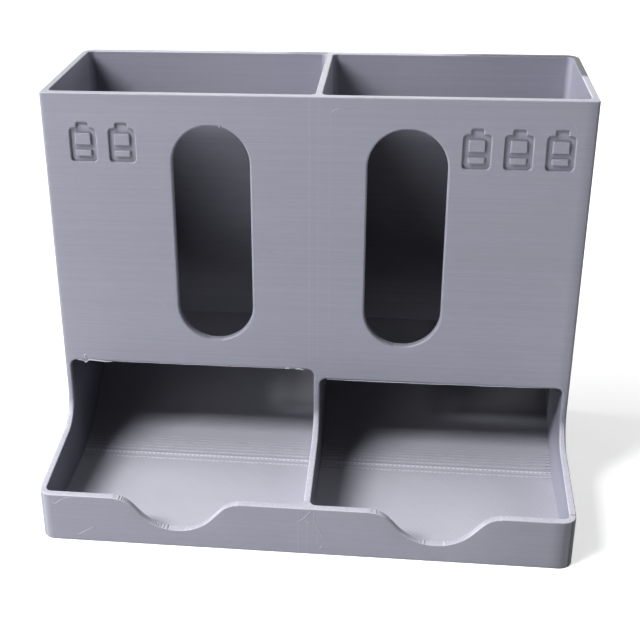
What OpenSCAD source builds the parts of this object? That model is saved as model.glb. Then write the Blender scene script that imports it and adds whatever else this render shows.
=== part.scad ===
// Two-bay gravity dispenser for small round batteries, printed in one piece.
// Each bay is an open-topped hopper with a sight window. Cells lie crosswise, roll down
// a curved ramp, pass under the front panel and stop in an open tray behind a scooped lip.
// Units are millimetres. X runs along the front, Y from the trays to the back, Z up.
// The origin is the centre of the underside.

/* [Case] */
// Overall width of the case
case_w = 114; // [112:1:124]
// Overall depth, trays included
case_d = 67; // [64:1:76]
// Overall height
case_h = 92; // [90:1:110]
// Depth of the hoppers, from the front panel to the back
hopper_d = 38.5; // [34:0.5:42]
// Thickness of the side walls and of the divider
side_t = 1.45; // [1.2:0.05:1.8]
// Thickness of the front panels, the back wall and the tray lips
face_t = 1.8; // [1.4:0.1:2.4]
// Thickness of the floor
floor_t = 2.2; // [1.6:0.1:3]
// Radius of the upright corners of the whole footprint
corner_r = 3; // [2:0.5:4]

/* [Bays] */
// How far the divider stands right of the middle
divider_x = 1.2; // [-2:0.1:4]
// Fillet in the inner upright corners of each bay
bay_corner_r = 1.4; // [1:0.1:2]
// Height of the front panel's lower edge over the underside, left bay
left_mouth_h = 29.3; // [27:0.1:34]
// Height of the front panel's lower edge over the underside, right bay
right_mouth_h = 27.1; // [26:0.1:34]
// Fillet in the two upper corners of each mouth
mouth_corner_r = 1.5; // [1:0.1:2.5]

/* [Ramps] */
// Height at which the ramps leave the back wall
ramp_top_h = 24.9; // [20:0.1:30]
// How far the ramps' toes reach in front of the front panels
ramp_toe_reach = 2; // [0:0.5:5]

/* [Trays] */
// Height of the tray lips
lip_h = 11.55; // [10:0.05:14]
// Rise of the tray cheeks towards the hopper, in degrees
cheek_slope = 6.5; // [4:0.5:10]
// Radius of the bend from the cheeks up into the front edges
cheek_bend_r = 7; // [5:0.5:9]

/* [Finger scoops] */
// Height of the lowest point of the scoops
scoop_bottom_h = 4.15; // [3.6:0.05:5]
// Radius of the bowl of a scoop
scoop_bowl_r = 10.5; // [9:0.1:11]
// Radius of the rounded shoulders beside a scoop
scoop_shoulder_r = 5.5; // [4:0.1:6]
// Steepness of a scoop's sides, in degrees
scoop_side_angle = 48; // [45:1:55]
// Middle of the left scoop
left_scoop_x = -26.8; // [-29:0.1:-25]
// Middle of the right scoop
right_scoop_x = 28.2; // [27:0.1:30]

/* [Sight windows] */
// Width of a window
window_w = 16.5; // [12:0.5:18]
// Lowest point of the windows
window_bottom_h = 36.1; // [35:0.1:44]
// Highest point of the windows
window_top_h = 85.4; // [80:0.1:86]
// Chamfer round the front edge of a window
window_chamfer = 0.45; // [0.2:0.05:0.7]
// Middle of the left window
left_window_x = -21.3; // [-34:0.1:-18]
// Middle of the right window
right_window_x = 19.7; // [16:0.1:34]

/* [Hidden] */
$fn = 64;
grey = [0.60, 0.60, 0.65];
// Extra length of a cut past the surface it opens
over = 1;

side_x = case_w / 2;
back_y = case_d / 2;
lip_y = -case_d / 2;
panel_y = back_y - hopper_d;
back_inner_y = back_y - face_t;
lip_inner_y = lip_y + face_t;
panel_inner_y = panel_y + face_t;

// Depth positions where one wall's piece ends and the next begins, past the corner fillets
back_joint_y = back_inner_y - bay_corner_r;
lip_joint_y = lip_inner_y + bay_corner_r;
panel_joint_y = panel_inner_y + bay_corner_r;

// One bay: [inner left X, inner right X, mouth height, window X, scoop X]
left_bay = [-side_x + side_t, divider_x - side_t / 2, left_mouth_h, left_window_x, left_scoop_x];
right_bay = [divider_x + side_t / 2, side_x - side_t, right_mouth_h, right_window_x, right_scoop_x];
function bay_left(bay) = bay[0];
function bay_right(bay) = bay[1];
function mouth_h(bay) = bay[2];
function window_x(bay) = bay[3];
function scoop_x(bay) = bay[4];

// Block between two opposite corners
module block(low, high) {
    translate(low) cube(high - low);
}

// Rectangle with rounded corners between two opposite corners
module rounded_rectangle(low, high, r) {
    translate([low[0] + r, low[1]]) square([high[0] - low[0] - 2 * r, high[1] - low[1]]);
    translate([low[0], low[1] + r]) square([high[0] - low[0], high[1] - low[1] - 2 * r]);
    for (x = [low[0] + r, high[0] - r], y = [low[1] + r, high[1] - r])
        translate([x, y]) circle(r = r);
}

// Side view of the case: tall hopper, bend, sloping tray cheek and lip, drawn with Y across
module side_view() {
    cheek_top_h = lip_h + (panel_y - lip_inner_y) * tan(cheek_slope);
    bend_y = panel_y - cheek_bend_r;
    bend_z = cheek_top_h - cheek_bend_r * tan(cheek_slope) + cheek_bend_r / cos(cheek_slope);
    translate([panel_y, 0]) square([hopper_d, case_h]);
    polygon([[lip_y, 0], [panel_y, 0], [panel_y, cheek_top_h], [lip_inner_y, lip_h], [lip_y, lip_h]]);
    difference() {
        polygon([
            [panel_y, cheek_top_h],
            [panel_y, bend_z],
            [bend_y + cheek_bend_r * sin(cheek_slope), bend_z - cheek_bend_r * cos(cheek_slope)]
        ]);
        translate([bend_y, bend_z]) circle(r = cheek_bend_r);
    }
}

// Outer form of the whole case, with its rounded upright corners
module outer_form() {
    intersection() {
        rotate([90, 0, 90]) linear_extrude(case_w, center = true) side_view();
        linear_extrude(case_h)
            rounded_rectangle([-side_x, lip_y], [side_x, back_y], corner_r);
    }
}

// Plan of a bay from its front limit to the back wall, as a prism
module bay_prism(bay, front_y, top_z) {
    translate([0, 0, floor_t]) linear_extrude(top_z - floor_t)
        rounded_rectangle([bay_left(bay), front_y], [bay_right(bay), back_inner_y], bay_corner_r);
}

// Front view of a mouth, with rounded upper corners
module mouth_view(bay) {
    translate([bay_left(bay), 0])
        square([bay_right(bay) - bay_left(bay), mouth_h(bay) - mouth_corner_r]);
    rounded_rectangle([bay_left(bay), 0], [bay_right(bay), mouth_h(bay)], mouth_corner_r);
}

// Free space of a bay: the hopper, and below it the way out through the mouth to the lip
module bay_space(bay) {
    bay_prism(bay, panel_inner_y, case_h + over);
    intersection() {
        bay_prism(bay, lip_inner_y, case_h);
        translate([0, panel_joint_y, 0]) rotate([90, 0, 0])
            linear_extrude(panel_joint_y - lip_y) mouth_view(bay);
    }
}

// Case walls without windows, scoops and ramps, kept between two corners
module wall_between(low, high) {
    difference() {
        intersection() {
            outer_form();
            block(low, high);
        }
        bay_space(left_bay);
        bay_space(right_bay);
    }
}

// Block in front of a bay's hopper that the front panel fills, down to the mouth fillets
module panel_block(bay, low_x, high_x) {
    block([low_x, panel_y, mouth_h(bay) - mouth_corner_r], [high_x, panel_joint_y, case_h]);
}

// Long round-ended hole through the front panel, chamfered at its front edge
module window_cut(bay) {
    r = window_w / 2;
    depth = face_t + 2 * over;
    low_z = window_bottom_h + r;
    high_z = window_top_h - r;
    translate([window_x(bay), panel_y, 0]) {
        for (z = [low_z, high_z])
            translate([0, depth - over, z]) rotate([90, 0, 0]) cylinder(r = r, h = depth);
        block([-r, -over, low_z], [r, depth - over, high_z]);
        for (z = [low_z, high_z])
            translate([0, 0, z]) rotate([-90, 0, 0])
                cylinder(r1 = r + window_chamfer, r2 = r, h = window_chamfer);
        translate([0, 0, low_z]) linear_extrude(high_z - low_z)
            polygon([
                [-r - window_chamfer, 0],
                [r + window_chamfer, 0],
                [r, window_chamfer],
                [-r, window_chamfer]
            ]);
    }
}

// Front view of a finger scoop: a round bowl whose sides run into rounded shoulders
module scoop_view() {
    c = cos(scoop_side_angle);
    s = sin(scoop_side_angle);
    bowl_x = scoop_bowl_r * s;
    bowl_z = scoop_bottom_h + scoop_bowl_r * (1 - c);
    side_top_z = lip_h - scoop_shoulder_r * (1 - c);
    side_top_x = bowl_x + (side_top_z - bowl_z) * c / s;
    shoulder_x = side_top_x + scoop_shoulder_r * s;
    top_z = lip_h + over;
    difference() {
        polygon([
            [-shoulder_x, top_z],
            [-shoulder_x, lip_h],
            [-side_top_x, side_top_z],
            [-bowl_x, bowl_z],
            [bowl_x, bowl_z],
            [side_top_x, side_top_z],
            [shoulder_x, lip_h],
            [shoulder_x, top_z]
        ]);
        for (x = [-shoulder_x, shoulder_x])
            translate([x, lip_h - scoop_shoulder_r]) circle(r = scoop_shoulder_r);
    }
    translate([0, scoop_bottom_h + scoop_bowl_r]) circle(r = scoop_bowl_r);
}

// Finger scoop through the lip
module scoop_cut(bay) {
    translate([scoop_x(bay), lip_inner_y + over, 0]) rotate([90, 0, 0])
        linear_extrude(face_t + 2 * over) scoop_view();
}

module base_floor() {
    color(grey) intersection() {
        outer_form();
        block([-side_x, lip_y, 0], [side_x, back_y, floor_t]);
    }
}

module back_wall() {
    color(grey) wall_between([-side_x, back_joint_y, floor_t], [side_x, back_y, case_h]);
}

// Side wall or divider between two X positions, less what the front panels take of it
module upright_wall(low_x, high_x) {
    difference() {
        wall_between([low_x, lip_joint_y, floor_t], [high_x, back_joint_y, case_h]);
        panel_block(left_bay, -side_x, divider_x);
        panel_block(right_bay, divider_x, side_x);
    }
}

module left_side_wall() {
    color(grey) upright_wall(-side_x, bay_left(left_bay));
}

module right_side_wall() {
    color(grey) upright_wall(bay_right(right_bay), side_x);
}

module divider_wall() {
    color(grey) upright_wall(bay_right(left_bay), bay_left(right_bay));
}

// Front panel of a bay with its window; it carries the fillets to the walls beside it
module front_panel(bay, low_x, high_x) {
    color(grey) difference() {
        wall_between([low_x, panel_y, mouth_h(bay) - mouth_corner_r], [high_x, panel_joint_y, case_h]);
        window_cut(bay);
    }
}

module left_front_panel() {
    front_panel(left_bay, -side_x, divider_x);
}

module right_front_panel() {
    front_panel(right_bay, divider_x, side_x);
}

// Lip of a bay's tray with its finger scoop and the rounded corner beside it
module tray_lip(bay, low_x, high_x) {
    color(grey) difference() {
        wall_between([low_x, lip_y, floor_t], [high_x, lip_joint_y, case_h]);
        scoop_cut(bay);
    }
}

module left_tray_lip() {
    tray_lip(left_bay, -side_x, divider_x);
}

module right_tray_lip() {
    tray_lip(right_bay, divider_x, side_x);
}

// Ramp that curves down from the back wall and runs out flat on the floor of the tray
module ramp(bay) {
    toe_y = panel_y - ramp_toe_reach;
    run = back_inner_y - toe_y;
    rise = ramp_top_h - floor_t;
    r = (run * run + rise * rise) / (2 * rise);
    color(grey) intersection() {
        bay_prism(bay, lip_inner_y, ramp_top_h);
        difference() {
            block([bay_left(bay), toe_y, floor_t], [bay_right(bay), back_inner_y, ramp_top_h]);
            translate([bay_left(bay) - over, toe_y, floor_t + r]) rotate([0, 90, 0])
                cylinder(r = r, h = bay_right(bay) - bay_left(bay) + 2 * over, $fn = 256);
        }
    }
}

module left_ramp() {
    ramp(left_bay);
}

module right_ramp() {
    ramp(right_bay);
}

base_floor();
back_wall();
left_side_wall();
right_side_wall();
divider_wall();
left_front_panel();
right_front_panel();
left_tray_lip();
right_tray_lip();
left_ramp();
right_ramp();
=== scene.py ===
import math
import random

import bmesh
import bpy
from mathutils import Matrix, Vector


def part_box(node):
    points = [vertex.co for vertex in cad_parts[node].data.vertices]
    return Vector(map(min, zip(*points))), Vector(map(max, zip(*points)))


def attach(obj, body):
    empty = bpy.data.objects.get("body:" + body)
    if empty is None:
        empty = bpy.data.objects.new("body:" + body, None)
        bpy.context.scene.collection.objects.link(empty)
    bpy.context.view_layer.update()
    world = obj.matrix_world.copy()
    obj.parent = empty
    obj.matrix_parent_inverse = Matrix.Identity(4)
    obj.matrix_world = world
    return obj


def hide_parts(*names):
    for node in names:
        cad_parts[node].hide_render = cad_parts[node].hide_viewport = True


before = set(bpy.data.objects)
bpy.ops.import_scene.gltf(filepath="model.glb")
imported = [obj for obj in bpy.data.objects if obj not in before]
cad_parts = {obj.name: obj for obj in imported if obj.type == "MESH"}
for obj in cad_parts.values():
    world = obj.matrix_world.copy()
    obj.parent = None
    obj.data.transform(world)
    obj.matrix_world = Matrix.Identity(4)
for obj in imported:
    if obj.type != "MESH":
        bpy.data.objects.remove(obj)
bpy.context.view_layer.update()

# Lengths are millimetres, and each finished mesh is scaled to metres
MM = 0.001


def box_mm(node):
    """Lowest and highest corner of a node, in millimetres."""
    low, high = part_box(node)
    return low / MM, high / MM


# Camera, placed as the photograph was taken
CAMERA_PLACE = (0.018838, -0.239137, 0.156744)
CAMERA_RIGHT = (0.99279, 0.11877, -0.01601)
CAMERA_FORWARD = (-0.11390, 0.89360, -0.43416)
CAMERA_LENS = 66.72
CAMERA_SENSOR = 36.0
CAMERA_SHIFT = (0.09076, -0.01038)

# Walls and joints, from the frame
base_low, base_high = box_mm("base_floor")
back_low, back_high = box_mm("back_wall")
divider_low, divider_high = box_mm("divider_wall")
SIDE_X = base_high.x
LIP_Y = base_low.y
BACK_Y = base_high.y
FLOOR_Z = base_high.z
CASE_Z = back_high.z
BACK_JOINT_Y = back_low.y
LIP_JOINT_Y = box_mm("left_tray_lip")[1].y
PANEL_Y = box_mm("left_front_panel")[0].y
PANEL_JOINT_Y = box_mm("left_front_panel")[1].y
SPLIT_X = box_mm("left_front_panel")[1].x
RAMP_TOE_Y = box_mm("left_ramp")[0].y
RAMP_TOP_Z = box_mm("left_ramp")[1].z
BACK_INNER_Y = box_mm("left_ramp")[1].y

# Radii, heights and angles of the printed form
CORNER_R = 3.0
BAY_R = 1.4
MOUTH_R = 1.5
LIP_Z = 11.55
CHEEK_SLOPE = math.radians(6.5)
CHEEK_BEND_R = 7.0
SCOOP_BOTTOM_Z = 4.15
SCOOP_BOWL_R = 10.5
SCOOP_SHOULDER_R = 5.5
SCOOP_ANGLE = math.radians(48)
WINDOW_W = 16.5
WINDOW_LOW_Z = 36.1
WINDOW_HIGH_Z = 85.4

# Printed steps: height, the share of it that is the steep side, where each is sampled, and how much shows
LAYER = 0.2
STEEP_SHARE = 0.15
STEP_SAMPLES = (0.0, 0.4, 0.85, 0.925)
CHEEK_STEPS = 0.3
WINDOW_STEPS = 0.4
SCOOP_STEPS = 0.7

# Angle up a window's round end to which the steps show in full, and the one where they end
STEPS_FULL = math.radians(40)
STEPS_GONE = math.radians(55)

# How round the print leaves each edge, and in how many flats
RIM_R = 0.28
NOSE_OUTER_R = 0.7
NOSE_INNER_R = 0.45
WINDOW_FRONT_R = 0.5
WINDOW_BACK_R = 0.25
FOOT_R = 0.25
ARC_STEPS = 5

# Flats of the case's corners, of the lips' corners and of the fillets
CORNER_STEPS = 16
LIP_CORNER_STEPS = 12
FILLET_STEPS = 8

# Reach of a cutter past the face that it cuts, and lengths that count as nothing
CUT_OVER = 1.0
NEARLY = 1e-4
NEARLY_SHARP = 1e-3
MERGE_REACH = 1e-5
FLAT_REACH = 1e-6

# Ramp steps: in full up to the first rise, fading over the second one, and the least share
RAMP_FULL_RISE = 0.45
RAMP_FADE_RISE = 1.5
RAMP_STEPS = 0.15

# Round nose of the steps, and the painted highlight on the outermost track of each, beside a track with
# painted shade
NOSE_R = 0.11
NOSE_CUT = 0.3
RING_GAP = 0.01
NOSE_HIGHLIGHTS = (0.9, 1.6, 0.6, 0.3, 0.2, 0.1, 0.05, 0.0)
TRACK_ROOM = 0.1
TRACK_EDGE = 0.06
TRACK_SHADE = 0.7

# The front of the lips stands this far back, so that the strands on it stay in the case's box
STRAND_ROOM = 0.08

LIP_INNER_Y = LIP_JOINT_Y - BAY_R
PANEL_INNER_Y = PANEL_JOINT_Y - BAY_R


class Bay:
    """One bay: its inner walls, the height of its mouth and the middle of its window and scoop.

    Some pieces are drawn as on the left, and flip mirrors them for the right."""

    def __init__(self, side, left, right, window_x, scoop_x):
        self.side = side
        self.flip = 1 if side == "left" else -1
        self.left = left
        self.right = right
        self.window_x = window_x
        self.scoop_x = scoop_x
        self.panel_z = box_mm(side + "_front_panel")[0].z
        self.mouth_z = self.panel_z + MOUTH_R


left_bay = Bay("left", box_mm("left_side_wall")[1].x, divider_low.x, -21.3, -26.8)
right_bay = Bay("right", divider_high.x, box_mm("right_side_wall")[0].x, 19.7, 28.2)
BAYS = (left_bay, right_bay)


# Mesh helpers

def quarter(steps=ARC_STEPS):
    """Angles of a quarter turn, both ends included."""
    return [math.pi / 2 * i / steps for i in range(steps + 1)]


def arc(x, y, r, start, end, steps):
    """Points on a circle between two angles in degrees, both ends included."""
    turn = [math.radians(start + (end - start) * i / steps) for i in range(steps + 1)]
    return [(x + r * math.cos(a), y + r * math.sin(a)) for a in turn]


def loft(rings):
    """Closed mesh through closed rings of equally many points, capped at both ends."""
    bm = bmesh.new()
    rows = [[bm.verts.new(p) for p in ring] for ring in rings]
    count = len(rows[0])
    for low, high in zip(rows, rows[1:]):
        for i in range(count):
            j = (i + 1) % count
            bm.faces.new((low[i], low[j], high[j], high[i]))
    bm.faces.new(list(reversed(rows[0])))
    bm.faces.new(rows[-1])
    return tidy(bm)


def mark(bm, name, value):
    """Gives every point of a mesh the same value of an attribute that the material reads."""
    layer = bm.verts.layers.float.new(name)
    for vertex in bm.verts:
        vertex[layer] = value
    return bm


def tidy(bm):
    """Merges doubled points, drops faces without area and turns the faces outwards."""
    bmesh.ops.remove_doubles(bm, verts=bm.verts, dist=MERGE_REACH)
    bmesh.ops.dissolve_degenerate(bm, edges=bm.edges, dist=FLAT_REACH)
    bmesh.ops.recalc_face_normals(bm, faces=bm.faces)
    return bm


def prism(outline, low_z, high_z):
    """Upright prism over an outline in X and Y."""
    return loft([[(x, y, z) for x, y in outline] for z in (low_z, high_z)])


def block(low, high):
    """Block between two opposite corners."""
    outline = [(low[0], low[1]), (high[0], low[1]), (high[0], high[1]), (low[0], high[1])]
    return prism(outline, low[2], high[2])


def round_edges(bm, radius, chosen):
    """Rounds the edges for which chosen(a, b) holds, given their two ends."""
    edges = [e for e in bm.edges if chosen(e.verts[0].co, e.verts[1].co)]
    bmesh.ops.bevel(bm, geom=edges, offset=radius, segments=ARC_STEPS, profile=0.5,
                    affect="EDGES", clamp_overlap=False)
    return bm


def mesh_object(name, bm):
    """Object made of a bmesh, still in millimetres."""
    mesh = bpy.data.meshes.new(name)
    bm.to_mesh(mesh)
    bm.free()
    thing = bpy.data.objects.new(name, mesh)
    bpy.context.scene.collection.objects.link(thing)
    return thing


def cut(target, *cutters):
    """The target bmesh with the cutters taken away, one after the other."""
    body = mesh_object("cut_body", target)
    for cutter in cutters:
        tool = mesh_object("cut_tool", cutter)
        step = body.modifiers.new("cut", "BOOLEAN")
        step.operation = "DIFFERENCE"
        step.solver = "EXACT"
        step.object = tool
        view = bpy.context.evaluated_depsgraph_get()
        mesh = bpy.data.meshes.new_from_object(body.evaluated_get(view))
        body.modifiers.clear()
        body.data = mesh
        bpy.data.objects.remove(tool)
    result = bmesh.new()
    result.from_mesh(body.data)
    bpy.data.objects.remove(body)
    return result


def set_back(bm):
    """Draws the rounded front of the lips and the floor in by the room for the strands."""
    for vertex in bm.verts:
        ahead = LIP_JOINT_Y - vertex.co.y
        if ahead > 0:
            vertex.co.y = LIP_JOINT_Y - ahead * (CORNER_R - STRAND_ROOM) / CORNER_R
    return bm


# Printed steps

def step_drop(z, slope):
    """How far a printed surface lies under its smooth form, along the normal, at a height over a step."""
    phase = (z / LAYER) % 1.0
    tread = 1.0 - STEEP_SHARE
    depth = phase / tread if phase < tread else (1.0 - phase) / STEEP_SHARE
    return LAYER * math.cos(slope) * depth


def step_heights(low, high):
    """Heights between two levels at which the steps are sampled, both ends included."""
    first = math.floor(low / LAYER)
    last = math.ceil(high / LAYER)
    inner = [LAYER * (k + s) for k in range(first, last + 1) for s in STEP_SAMPLES]
    return [low] + [z for z in inner if low + 1e-3 < z < high - 1e-3] + [high]


# Tray cheeks and upright walls

def cheek_path():
    """Side view of the front edge of a wall, from the lip joint up: (y, z, slope), in order."""
    cheek_top_z = LIP_Z + (PANEL_Y - LIP_INNER_Y) * math.tan(CHEEK_SLOPE)
    bend_y = PANEL_Y - CHEEK_BEND_R
    bend_z = cheek_top_z + CHEEK_BEND_R * (1 / math.cos(CHEEK_SLOPE) - math.tan(CHEEK_SLOPE))
    bend_low_z = bend_z - CHEEK_BEND_R * math.cos(CHEEK_SLOPE)
    start = (LIP_JOINT_Y - LIP_INNER_Y) * math.tan(CHEEK_SLOPE)
    path = []
    for rise in step_heights(start, bend_z - LIP_Z):
        z = LIP_Z + rise
        if z < bend_low_z:
            slope = CHEEK_SLOPE
            y = LIP_INNER_Y + rise / math.tan(slope)
        else:
            slope = math.acos((bend_z - z) / CHEEK_BEND_R)
            y = bend_y + CHEEK_BEND_R * math.sin(slope)
        path.append((y, z, slope))
    return path


def wall_station(place, slope, drop, walls, radii):
    """Points across the front edge of a wall, rounded on both sides by the two radii."""
    y, z = place
    front, up = -math.sin(slope), math.cos(slope)
    row = []
    for wall_x, r, inwards, turns in zip(walls, radii, (1, -1), (quarter(), quarter()[::-1])):
        for turn in turns:
            inset = r * (1 - math.sin(turn)) + drop * math.sin(turn)
            x = wall_x + inwards * r * (1 - math.cos(turn))
            row.append((x, y - front * inset, z - up * inset))
    return row


def wall_form(walls, nose_radii, notch_z):
    """Upright wall from lip joint to back joint, less the front panel's share above notch_z."""
    rows = [wall_station((LIP_JOINT_Y, LIP_Z), 0.0, 0.0, walls, (RIM_R, RIM_R))]
    for y, z, slope in cheek_path()[1:]:
        share = (slope - CHEEK_SLOPE) / (math.pi / 2 - CHEEK_SLOPE)
        radii = [RIM_R + (r - RIM_R) * share for r in nose_radii]
        drop = CHEEK_STEPS * step_drop(z - LIP_Z, slope)
        rows.append(wall_station((y, z), slope, drop, walls, radii))
    rows.append(wall_station((PANEL_Y, notch_z), math.pi / 2, 0.0, walls, nose_radii))
    bm = bmesh.new()
    grid = [[bm.verts.new(p) for p in row] for row in rows]
    for low, high in zip(grid, grid[1:]):
        for i in range(len(low) - 1):
            bm.faces.new((low[i], low[i + 1], high[i + 1], high[i]))
    outline = [(PANEL_JOINT_Y, notch_z), (PANEL_JOINT_Y, CASE_Z), (BACK_JOINT_Y, CASE_Z),
               (BACK_JOINT_Y, FLOOR_Z), (LIP_JOINT_Y, FLOOR_Z)]
    left = [bm.verts.new((walls[0], y, z)) for y, z in outline]
    right = [bm.verts.new((walls[1], y, z)) for y, z in outline]
    bm.faces.new([row[0] for row in grid] + left)
    bm.faces.new([row[-1] for row in reversed(grid)] + list(reversed(right)))
    for i in range(len(outline) - 1):
        bm.faces.new((left[i], right[i], right[i + 1], left[i + 1]))
    bm.faces.new([left[-1]] + [right[-1]] + list(reversed(grid[0])))
    bm.faces.new(grid[-1] + [right[0], left[0]])
    tidy(bm)
    return round_edges(bm, RIM_R, lambda a, b: top_edge(a, b) and abs(a.x - b.x) < NEARLY)


def top_edge(a, b):
    """Whether both ends of an edge lie on the hopper's rim."""
    return min(a.z, b.z) > CASE_Z - NEARLY


def left_side_wall():
    return wall_form((-SIDE_X, left_bay.left), (NOSE_OUTER_R, NOSE_INNER_R), left_bay.panel_z)


def right_side_wall():
    return wall_form((right_bay.right, SIDE_X), (NOSE_INNER_R, NOSE_OUTER_R), right_bay.panel_z)


def divider_wall():
    notch_z = left_bay.panel_z
    wall = wall_form((left_bay.right, right_bay.left), (NOSE_INNER_R, NOSE_INNER_R), notch_z)
    low = (SPLIT_X, PANEL_Y - CUT_OVER, right_bay.panel_z)
    return cut(wall, block(low, (right_bay.left + CUT_OVER, PANEL_JOINT_Y, notch_z + CUT_OVER)))


# Floor and back wall

def base_floor():
    x = SIDE_X - CORNER_R
    y = BACK_Y - CORNER_R
    corners = [(-x, -y, 180), (x, -y, 270), (x, y, 0), (-x, y, 90)]
    outline = [p for cx, cy, a in corners for p in arc(cx, cy, CORNER_R, a, a + 90, CORNER_STEPS)]
    bm = set_back(prism(outline, base_low.z, FLOOR_Z))
    return round_edges(bm, FOOT_R, lambda a, b: max(a.z, b.z) < base_low.z + NEARLY)


def back_wall():
    x = SIDE_X - CORNER_R
    outline = [(SIDE_X, BACK_JOINT_Y)]
    outline += arc(x, BACK_Y - CORNER_R, CORNER_R, 0, 90, CORNER_STEPS)
    outline += arc(-x, BACK_Y - CORNER_R, CORNER_R, 90, 180, CORNER_STEPS)
    outline += [(-SIDE_X, BACK_JOINT_Y)]
    for bay in BAYS:
        outline += arc(bay.left + BAY_R, BACK_JOINT_Y, BAY_R, 180, 90, FILLET_STEPS)
        outline += arc(bay.right - BAY_R, BACK_JOINT_Y, BAY_R, 90, 0, FILLET_STEPS)
    bm = prism(outline, FLOOR_Z, CASE_Z)

    def free(a, b):
        return top_edge(a, b) and max(a.y, b.y) > BACK_JOINT_Y + NEARLY
    return round_edges(bm, RIM_R, free)


# Front panels

def flared(outline, front, back):
    """Cutter along Y that widens towards both faces of the wall, each given by its y and its edge radius.

    outline(spread, share) gives (x, z) points, and share is how much of the printed steps shows."""
    rings = [(front[0] - CUT_OVER, front[1], 0.0)]
    for (y, r), inwards, turns in ((front, 1, quarter()[::-1]), (back, -1, quarter())):
        rings += [(y + inwards * r * (1 - math.sin(t)), r * (1 - math.cos(t)), math.cos(t)) for t in turns]
    rings.append((back[0] + CUT_OVER, back[1], 0.0))
    return loft([[(x, y, z) for x, z in outline(spread, share)] for y, spread, share in rings])


def window_outline(bay):
    """Long round-ended hole, with the printed steps in its two round ends."""
    r = WINDOW_W / 2
    low_z = WINDOW_LOW_Z + r
    high_z = WINDOW_HIGH_Z - r
    drops = step_heights(0.0, r * (1 - math.cos(STEPS_GONE)))
    turns = [math.acos(1 - d / r) for d in drops]
    rest = math.pi / 2 - STEPS_GONE
    turns += [STEPS_GONE + rest * i / FILLET_STEPS for i in range(1, FILLET_STEPS + 1)]

    def end(turn):
        fade = min(1.0, max(0.0, (STEPS_GONE - turn) / (STEPS_GONE - STEPS_FULL)))
        return WINDOW_STEPS * step_drop(r * (1 - math.cos(turn)), turn) * fade

    def outline(spread, share):
        points = []
        for centre_z, sign, order in ((low_z, -1, turns), (high_z, 1, list(reversed(turns)))):
            side = [(t, r + spread + share * end(t)) for t in order]
            points += [(bay.window_x + d * math.sin(t), centre_z + sign * d * math.cos(t)) for t, d in side]
        mirrored = [(2 * bay.window_x - x, z) for x, z in reversed(points)]
        return points[:-1] + mirrored[:-1]
    return outline


def mouth_outline(bay, low_z):
    """Mouth with its two upper fillets, open downwards past the panel. No printed steps show in it."""
    def outline(spread, share):
        r = MOUTH_R + spread
        points = [(bay.left - spread, low_z)]
        points += arc(bay.left + MOUTH_R, bay.mouth_z - MOUTH_R, r, 180, 90, FILLET_STEPS)
        points += arc(bay.right - MOUTH_R, bay.mouth_z - MOUTH_R, r, 90, 0, FILLET_STEPS)
        return points + [(bay.right + spread, low_z)]
    return outline


def panel_outline(bay):
    """Plan of a front panel with the fillets to the walls beside it."""
    left, right = sorted((bay.flip * bay.left, bay.flip * bay.right))
    r = NOSE_OUTER_R
    points = [(-SIDE_X, PANEL_JOINT_Y)]
    points += [(-SIDE_X + r * (1 - math.cos(t)), PANEL_Y + r * (1 - math.sin(t))) for t in quarter()]
    points += [(bay.flip * SPLIT_X, PANEL_Y), (bay.flip * SPLIT_X, PANEL_JOINT_Y)]
    points += arc(right - BAY_R, PANEL_JOINT_Y, BAY_R, 0, -90, FILLET_STEPS)
    points += arc(left + BAY_R, PANEL_JOINT_Y, BAY_R, -90, -180, FILLET_STEPS)
    return [(bay.flip * x, y) for x, y in points]


def front_panel(bay):
    bm = prism(panel_outline(bay), bay.panel_z, CASE_Z)

    def free(a, b):
        on_back = min(a.y, b.y) > PANEL_JOINT_Y - NEARLY
        on_split = max(abs(a.x - SPLIT_X), abs(b.x - SPLIT_X)) < NEARLY
        return top_edge(a, b) and not on_back and not on_split
    round_edges(bm, RIM_R, free)
    low_z = bay.panel_z - CUT_OVER
    mouth = flared(mouth_outline(bay, low_z), (PANEL_Y, NOSE_INNER_R), (PANEL_JOINT_Y, NEARLY_SHARP))
    window = flared(window_outline(bay), (PANEL_Y, WINDOW_FRONT_R), (PANEL_INNER_Y, WINDOW_BACK_R))
    return cut(bm, mouth, window, *label_cutters(bay))


# Battery pictograms, sunk into the panels where the labels are: sizes, radii, place of the bar, and for each
# panel the X of the first one, their lower edge and their number
GLYPH_DEPTH = 0.6
GLYPH_STROKE = 1.1
GLYPH_EDGE_R = 0.3
GLYPH_EDGE_STEPS = 4
GLYPH_PITCH = 8.35
GLYPH_BODY = (5.6, 7.3)
GLYPH_NUB = (2.5, 1.2)
GLYPH_CORNER_R = 0.8
GLYPH_INNER_R = 0.35
GLYPH_NUB_R = 0.4
GLYPH_BAR_R = 0.3
GLYPH_BAR_PLACE = 0.42
LEFT_GLYPHS = (-48.3, 77.2, 2)
RIGHT_GLYPHS = (33.5, 77.4, 3)


def rounded_outline(low, high, r, spread):
    """Rounded rectangle in X and Z, grown by spread."""
    grown = r + spread
    corners = [(low[0] + r, low[1] + r, 180), (high[0] - r, low[1] + r, 270),
               (high[0] - r, high[1] - r, 0), (low[0] + r, high[1] - r, 90)]
    return [p for x, z, a in corners for p in arc(x, z, grown, a, a + 90, ARC_STEPS)]


def groove_levels():
    """Depths of a groove's rings behind the panel's face, with how far it spreads there."""
    levels = [(-CUT_OVER, GLYPH_EDGE_R)]
    for turn in reversed(quarter(GLYPH_EDGE_STEPS)):
        levels.append((GLYPH_EDGE_R * (1 - math.sin(turn)), GLYPH_EDGE_R * (1 - math.cos(turn))))
    return levels + [(GLYPH_DEPTH, 0.0)]


def groove(low, high, r):
    """Cutter of a filled rounded rectangle."""
    return loft([[(x, PANEL_Y + depth, z) for x, z in rounded_outline(low, high, r, spread)]
                 for depth, spread in groove_levels()])


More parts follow.
